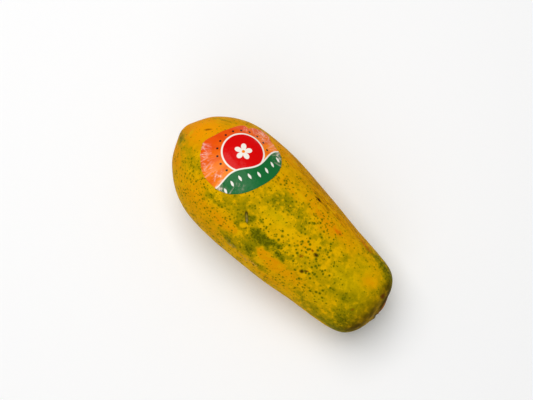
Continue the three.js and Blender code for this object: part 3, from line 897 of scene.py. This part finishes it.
def makeScarCork(scar):
    tree = newMaterial(scar, "dryBlossomCork")
    coords = addNode(tree, "TexCoord")["Object"]
    size, detail, roughness = scarCork["grain"]
    inputs = {"Vector": coords, "Scale": 1 / (size * mm), "Detail": detail, "Roughness": roughness}
    mottle = addNode(tree, "TexNoise", inputs)[0]
    rim = addNode(tree, "Attribute", attribute_name="rim")["Fac"]
    colour = layColour(tree, linear(scarCork["heart"]), scarCork["points"], rim, 0, 1, ramp="LINEAR")
    colour = layColour(tree, colour, scarCork["pale"], mottle, *scarCork["paleClouds"])
    addShader(tree, colour, scarCork, mottle)


# The label is laid on the skin, so its sizes are measured along the surface. Its own axes are turned:
# x runs towards the stem end and y round the fruit, both in mm from its middle.
labelFilm = {
    "along": 60.7,
    "around": 18,
    "turn": 17,
    "halfLength": 32.5,
    "halfWidth": 38.6,
    "squareness": 2.35,
    "sides": 288,
    "rings": 64,
    "reach": (4, 140),  # mm along the fruit that it may cover
    "lift": 0.12,
    "thickness": 0.14,
    "smoothing": 6,
    "ripples": [(7, 0.25, 3), (2.2, 0.08, 9)],  # mm: size, height and which draw
    "looseRim": (0.8, 0.25, 3),  # from this share of the way out it lifts by so many mm, how unevenly
    "hollow": 0.05,  # mm that a ripple may sink
    "bluntness": 1.3,  # of a crease
    "crestShare": 0.6,  # of its width that its milky crest has, whitened and with a painted glint
    "stretchEdge": 1.4,  # how crisp the border of a crinkled stretch is
    "mapSize": 100,  # mm that its map is wide
}
labelKinks = [
    # degrees round the rim, how far the rim is moved out in mm, and the width of that in degrees
    (89, -1.3, 12),
    (110, 3.6, 10),
    (138, -5.0, 5),  # a fold that takes a notch out of the rim
    (167, -1.6, 16),
    (208, 2.8, 9),  # a corner
    (242, -1.8, 14),
]
labelCreases = [
    # where each begins and ends in the label's own mm, its height and its half width in mm
    ((-32, -23), (-22, -18), 0.6, 0.7),
    ((-28, -27), (-21, -20), 0.4, 0.6),
    ((-22, -31), (-17, -22), 0.8, 0.8),
    ((-15, -33), (-15, -26), 0.5, 0.6),
    ((-6, -35), (-10, -25), 0.8, 0.8),
    ((1, -40), (-1, -29), 1.0, 0.8),
    ((8, -33), (0, -26), 0.5, 0.6),
    ((3, -29), (9, -25), 0.4, 0.6),
    ((15, -37), (11, -31), 0.5, 0.7),
    ((26, -30), (21, -20), 0.4, 0.6),
    ((-31, 25), (-20, 24), 1.0, 0.9),
    ((-24, 30), (-14, 23), 0.35, 0.7),
    ((-19, 39), (-8, 31), 0.7, 0.8),
    ((-8, 40), (-3, 33), 0.5, 0.7),
    ((2, 38), (4, 31), 0.45, 0.7),
    ((13, 38), (11, 31), 0.5, 0.7),
    ((24, 28), (18, 24), 0.4, 0.7),
]
labelCrinkles = [
    # middle and half sizes of each crinkled stretch in the label's own mm, and how strong it is
    ((-23, -27), (10, 7), 1.0),
    ((-6, -32), (9, 6), 0.6),
    ((5, -28), (8, 5), 0.8),
    ((18, -32), (9, 5), 0.9),
    ((23, -17), (5, 5), 0.35),
    ((-9, 31), (8, 8), 0.85),
    ((4, 33), (8, 6), 0.5),
    ((15, 33), (9, 6), 0.9),
    ((-24, 22), (5, 5), 0.6),
]


def flatLabel(points):
    # the unit disc's points, laid out to the label's outline in mm, and how far out each is, 0 to 1
    reach, angle = np.hypot(points[:, 0], points[:, 1]), np.arctan2(points[:, 1], points[:, 0])
    degrees = np.degrees(angle) % 360
    drawn = sum(out * np.exp(-(((degrees - at) / width) ** 2)) for at, out, width in labelKinks)
    drawn = drawn * reach**4
    power = labelFilm["squareness"]
    rim = (np.abs(np.cos(angle)) ** power + np.abs(np.sin(angle)) ** power) ** (-1 / power)
    x = np.cos(angle) * (labelFilm["halfLength"] + drawn)
    y = np.sin(angle) * (labelFilm["halfWidth"] + drawn)
    return np.c_[x, y] * (reach * rim)[:, None], reach


def creaseHeights(own):
    # how far the creases raise the film and how close each point is to a crest, from 0 to 1
    height, crest = np.zeros(len(own)), np.zeros(len(own))
    for start, end, rise, width in labelCreases:
        start, line = np.array(start), np.array(end) - np.array(start)
        share = np.clip((own - start) @ line / (line @ line), 0, 1)
        away = np.linalg.norm(own - start - share[:, None] * line, axis=1)
        fade = np.sqrt(1 - share)  # highest at the rim, and gone at the inner end
        height += rise * fade * np.exp(-np.abs(away / width) ** labelFilm["bluntness"])
        narrow = width * labelFilm["crestShare"]
        crest = np.maximum(crest, fade * np.exp(-((away / narrow) ** 2)))
    return height, crest


def crinkledShare(own):
    share = np.zeros(len(own))
    for middle, size, strength in labelCrinkles:
        away = (own - np.array(middle)) / np.array(size)
        falloff = (away**2).sum(axis=1) ** labelFilm["stretchEdge"]
        share = np.maximum(share, strength * np.exp(-falloff))
    return share


def layOnSkin(own, tree):
    # the skin's points and normals under the label's own points
    turn = math.radians(-labelFilm["turn"])
    across = own @ np.array([[math.cos(turn), math.sin(turn)], [-math.sin(turn), math.cos(turn)]])
    places = np.arange(*labelFilm["reach"], 0.5)
    line = [skinPlace(tree, along, labelFilm["around"]) for along in places]
    steps = [(after[0] - before[0]).length / mm for before, after in zip(line, line[1:])]
    lengths = np.concatenate(([0], np.cumsum(steps)))
    middle = np.interp(labelFilm["along"], places, lengths)
    alongs = np.interp(middle + across[:, 0], lengths, places)
    radii = np.interp(alongs, places, [spot[2] / mm for spot in line])
    arounds = labelFilm["around"] + np.degrees(across[:, 1] / radii)
    spots = [skinPlace(tree, along, around) for along, around in zip(alongs, arounds)]
    return np.array([spot[0] for spot in spots]), np.array([spot[1] for spot in spots])


def makeLabel(skin):
    makeActive()
    bpy.ops.mesh.primitive_circle_add(vertices=labelFilm["sides"], radius=1, fill_type="NOTHING")
    label = bpy.context.object
    label.name = "labelFilm"
    bpy.ops.object.mode_set(mode="EDIT")
    bpy.ops.mesh.select_all(action="SELECT")
    for ring in range(labelFilm["rings"] - 1, 0, -1):
        share = ring / (ring + 1)
        bpy.ops.mesh.extrude_edges_move()
        bpy.ops.transform.resize(value=(share, share, 1))
    bpy.ops.mesh.merge(type="CENTER")
    bpy.ops.mesh.select_all(action="SELECT")
    bpy.ops.mesh.normals_make_consistent(inside=False)
    bpy.ops.object.mode_set(mode="OBJECT")
    own, reach = flatLabel(readPoints(label))
    places, normals = layOnSkin(own, treeOf(skin))
    setPoints(label, places)
    applyModifier(label, "SMOOTH", factor=0.5, iterations=labelFilm["smoothing"])
    crease, crest = creaseHeights(own)
    ripple = np.zeros(len(own))
    for size, height, draw in labelFilm["ripples"]:
        ripple += height * np.array([noise.noise((x / size, y / size, draw)) for x, y in own])
    loose, far, uneven = labelFilm["looseRim"]
    lifted = far * smoothStep(reach, loose, 1.0) * np.clip(0.5 + ripple * uneven, 0, 1)
    rise = labelFilm["lift"] + crease + np.maximum(ripple, -labelFilm["hollow"]) + lifted
    setPoints(label, readPoints(label) + normals * (rise * mm)[:, None])
    corners = np.zeros(len(label.data.loops), np.int32)
    label.data.loops.foreach_get("vertex_index", corners)
    flat = 0.5 + own[corners] / labelFilm["mapSize"]
    label.data.uv_layers.new(name="filmMap").data.foreach_set("uv", flat.ravel())
    setAttribute(label, "crest", crest)
    setAttribute(label, "crinkled", crinkledShare(own))
    applyModifier(label, "SOLIDIFY", thickness=labelFilm["thickness"] * mm, offset=1)
    return label


# Polypropylene film, printed on its back: its face is clear and glossy, its inks are flat and bright,
# and it goes milky where it is creased or has come away from the skin: partly real whitening, partly
# painted glints and sheen.
labelPrint = {
    "ground": "#fb8404",
    "deepOrange": "#ea5204",
    "ray": "#dd3f05",
    "red": "#da0202",
    "white": "#f3efe4",
    "green": "#176a33",
    "seed": "#1d1712",
    # milky white of the creased film: partly real whitening, partly painted glints and sheen
    "milkyGlintColour": "#ffe2d6",
    "glow": (4, -26),  # mm along the label, where the deep orange begins and is full
    "rayEdge": (-0.12, 2.4),  # the same for the rays, which are never full
    "leafEdge": (1.1, 0.85),
    "sun": {"at": (-3, 3), "radius": 18.5, "ring": 20, "rays": 13},  # ring: the white ring's radius
    "blossom": {"petals": 5, "inner": 2.4, "outer": 8.2, "taper": 0.7, "heart": 1.5},
    "hill": {"at": 12.5, "wave": 2.8, "every": 46, "edge": 1.4},
    "leaf": {"from": 7.5, "every": 8.4, "length": 3.0, "width": 1.15},
    "seeds": {"radius": 23.4, "every": 20, "size": 1.05},  # mm, degrees and mm
    "soft": 0.22,  # mm each side of an outline
    "crinkles": [(5.2, 0.34), (2.6, 0.22)],  # mm between the fine creases, and their half width
    "crinkleAxes": (0.28, 30),  # how they are drawn out from the sun, and packed round it
    "crinklePush": (4, 1.5),  # mm: size of the waves that push them about, and how far
    "crinkleGaps": (0.46, 0.6),  # of the clouds that break them up: where they begin and are full
    "cloud": 5,  # mm: size of the frosty clouds, in which a sheen is painted
    "frostySheen": (0.42, 0.68, 0.17),  # where the painted frosty sheen begins and is full in them, and how strong
    # how much milky whitening and painted glint the fine creases and the crests take
    "milkAndGlintOnLines": 0.75,
    "milkAndGlintOnCrests": 0.42,
    "roughness": (0.18, 0.3),
    "specular": 0.1,
    "grain": 1.6,
    "lineRise": 1.2,  # of a fine crease, where the grain is 1
    "depth": 0.06,
    "strength": 0.7,
}


def makePrint(label):
    tree = newMaterial(label, "glossPrintedFilm")
    uv = addNode(tree, "UVMap", uv_map="filmMap")[0]
    wide = labelFilm["mapSize"]
    inputs = {"Vector": uv, "Location": (-wide / 2, -wide / 2, 0), "Scale": (wide, wide, 1)}
    spot = addNode(tree, "Mapping", inputs)[0]  # the label's own mm
    sun, blossom, hill = (labelPrint[name] for name in ("sun", "blossom", "hill"))
    leaf, seeds, soft = (labelPrint[name] for name in ("leaf", "seeds", "soft"))
    fromSun = addNode(tree, "VectorMath", [spot, (*sun["at"], 0)], operation="SUBTRACT")[0]
    own, sides = (addNode(tree, "SeparateXYZ", [vector]) for vector in (spot, fromSun))
    measures = {"x": own[0], "y": own[1]}
    measures["reach"] = addNode(tree, "VectorMath", [fromSun], operation="LENGTH")["Value"]
    measures["angle"] = addNode(tree, "Math", [sides[1], sides[0]], operation="ARCTAN2")[0]

    # each measure is worked out from another in steps, in which a name is a measure above it
    petal, turns = blossom["outer"] - blossom["inner"], 2 * math.pi / hill["every"]
    for name, start, *steps in (
        ("rays", "angle", ("MULTIPLY", sun["rays"]), ("SINE",)),
        # mm past the petals' outline
        ("petals", "angle", ("MULTIPLY", blossom["petals"] / 2), ("COSINE",), ("ABSOLUTE",),
         ("POWER", blossom["taper"]), ("MULTIPLY_ADD", -petal, -blossom["inner"]), ("ADD", "reach")),
        # mm below the hill's wavy edge
        ("below", "y", ("MULTIPLY_ADD", turns, 0.5), ("SINE",), ("MULTIPLY_ADD", -hill["wave"], "x"),
         ("SUBTRACT", hill["at"])),
        # a row of leaves along the hill: 1 on their outline
        ("row", "y", ("MULTIPLY", 1 / leaf["every"]), ("FRACT",), ("SUBTRACT", 0.5),
         ("MULTIPLY", leaf["every"] / leaf["width"]), ("ABSOLUTE",)),
        ("leaves", "below", ("SUBTRACT", leaf["from"]), ("DIVIDE", leaf["length"]), ("POWER", 2),
         ("ADD", "row")),
        # mm from the nearest seed of the ring round the sun
        ("outer", "reach", ("SUBTRACT", seeds["radius"]), ("POWER", 2)),
        ("bead", "angle", ("MULTIPLY", 180 / math.pi / seeds["every"]), ("FRACT",), ("SUBTRACT", 0.5),
         ("MULTIPLY", math.radians(seeds["every"]) * seeds["radius"]), ("POWER", 2), ("ADD", "outer"),
         ("SQRT",)),
        # the fine creases' own axes
        ("outwards", "reach", ("MULTIPLY", labelPrint["crinkleAxes"][0])),
        ("round", "angle", ("MULTIPLY", labelPrint["crinkleAxes"][1])),
    ):
        value = measures[start]
        for operation, *others in steps:
            inputs = [value, *(measures.get(other, other) for other in others)]
            value = addNode(tree, "Math", inputs, operation=operation)[0]
        measures[name] = value

    # each ink: what it is measured by, the value it begins at, that of its full colour, and the colour
    ring, disc, heart, edge = sun["ring"], sun["radius"], blossom["heart"], -hill["edge"]
    colour = linear(labelPrint["ground"])
    for name, start, full, ink in (
        ("x", *labelPrint["glow"], "deepOrange"),
        ("rays", *labelPrint["rayEdge"], "ray"),
        ("bead", seeds["size"] + soft, seeds["size"] - soft, "seed"),
        ("reach", ring + soft, ring - soft, "white"),
        ("reach", disc + soft, disc - soft, "red"),
        ("petals", soft, -soft, "white"),
        ("reach", heart + soft, heart - soft, "ground"),
        ("below", edge - soft, edge + soft, "white"),
        ("below", -soft, soft, "green"),
        ("leaves", *labelPrint["leafEdge"], "white"),
    ):
        colour = layColour(tree, colour, labelPrint[ink], measures[name], start, full, ramp="LINEAR")

    # fine creases that run out to the rim, drawn as the edges of cells round the sun
    polar = addNode(tree, "CombineXYZ", [measures["outwards"], measures["round"]])[0]
    size, far = labelPrint["crinklePush"]
    push = addNode(tree, "TexNoise", {"Vector": spot, "Scale": 1 / size, "Detail": 2})["Color"]
    inputs = [push, (far,) * 3, polar]
    polar = addNode(tree, "VectorMath", inputs, operation="MULTIPLY_ADD")[0]
    lines = 0.0
    for size, width in labelPrint["crinkles"]:
        inputs = {"Vector": polar, "Scale": 1 / size}
        cells = addNode(tree, "TexVoronoi", inputs, feature="DISTANCE_TO_EDGE")[0]
        line = addNode(tree, "MapRange", [cells, width / size, 0.0])[0]
        gaps = addNode(tree, "TexNoise", {"Vector": spot, "Scale": 1 / size, "Detail": 1})[0]
        gaps = addNode(tree, "MapRange", [gaps, *labelPrint["crinkleGaps"]])[0]
        line = addNode(tree, "Math", [line, gaps], operation="MULTIPLY")[0]
        lines = addNode(tree, "Math", [line, lines], operation="MAXIMUM")[0]
    crinkled = addNode(tree, "Attribute", attribute_name="crinkled")["Fac"]
    lines = addNode(tree, "Math", [lines, crinkled], operation="MULTIPLY")[0]

    # milky where it is creased or crinkled: partly real whitening, partly painted glints and sheen
    crest = addNode(tree, "Attribute", attribute_name="crest")["Fac"]
    inputs = {"Vector": spot, "Scale": 1 / labelPrint["cloud"], "Detail": 3}
    cloud = addNode(tree, "TexNoise", inputs)[0]
    start, full, strength = labelPrint["frostySheen"]
    milkAndGlint = addNode(tree, "MapRange", [cloud, start, full, 0.0, strength])[0]
    milkAndGlint = addNode(tree, "Math", [milkAndGlint, crinkled], operation="MULTIPLY")[0]
    for part, share in ((lines, labelPrint["milkAndGlintOnLines"]), (crest, labelPrint["milkAndGlintOnCrests"])):
        milkAndGlint = addNode(tree, "Math", [part, share, milkAndGlint], operation="MULTIPLY_ADD")[0]
    colour = layColour(tree, colour, labelPrint["milkyGlintColour"], milkAndGlint, 0, 1, ramp="LINEAR")

    inputs = {"Vector": spot, "Scale": 1 / labelPrint["grain"], "Detail": 2}
    fine = addNode(tree, "TexNoise", inputs)[0]
    inputs = [lines, labelPrint["lineRise"], fine]
    height = addNode(tree, "Math", inputs, operation="MULTIPLY_ADD")[0]
    addShader(tree, colour, labelPrint, height, cloud)


makeCamera()
makeStudio()
print("camera and studio ready")

guide = makeGuide("fruit")
skin = makeSkinMesh(guide)
bpy.data.objects.remove(guide)
paintSkin(skin)
reliefSkin(skin)
seatStub(skin)
makeRind(skin)
print("skin ready", len(skin.data.polygons))

stub = makeStub()
makeStubWood(stub)
print("stub ready", len(stub.data.polygons))

scar = makeScar(skin)
makeScarCork(scar)
print("blossom scar ready", len(scar.data.polygons))

label = makeLabel(skin)
makePrint(label)
print("label ready", len(label.data.polygons))

for piece, node, slot in (
    (skin, "fruit", "skin"),
    (stub, "fruit", "skin"),
    (scar, "fruit", "skin"),
    (label, "label", "film"),
):
    makeActive(piece)
    bpy.ops.object.shade_smooth()
    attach(piece, "root")
    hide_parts(node)
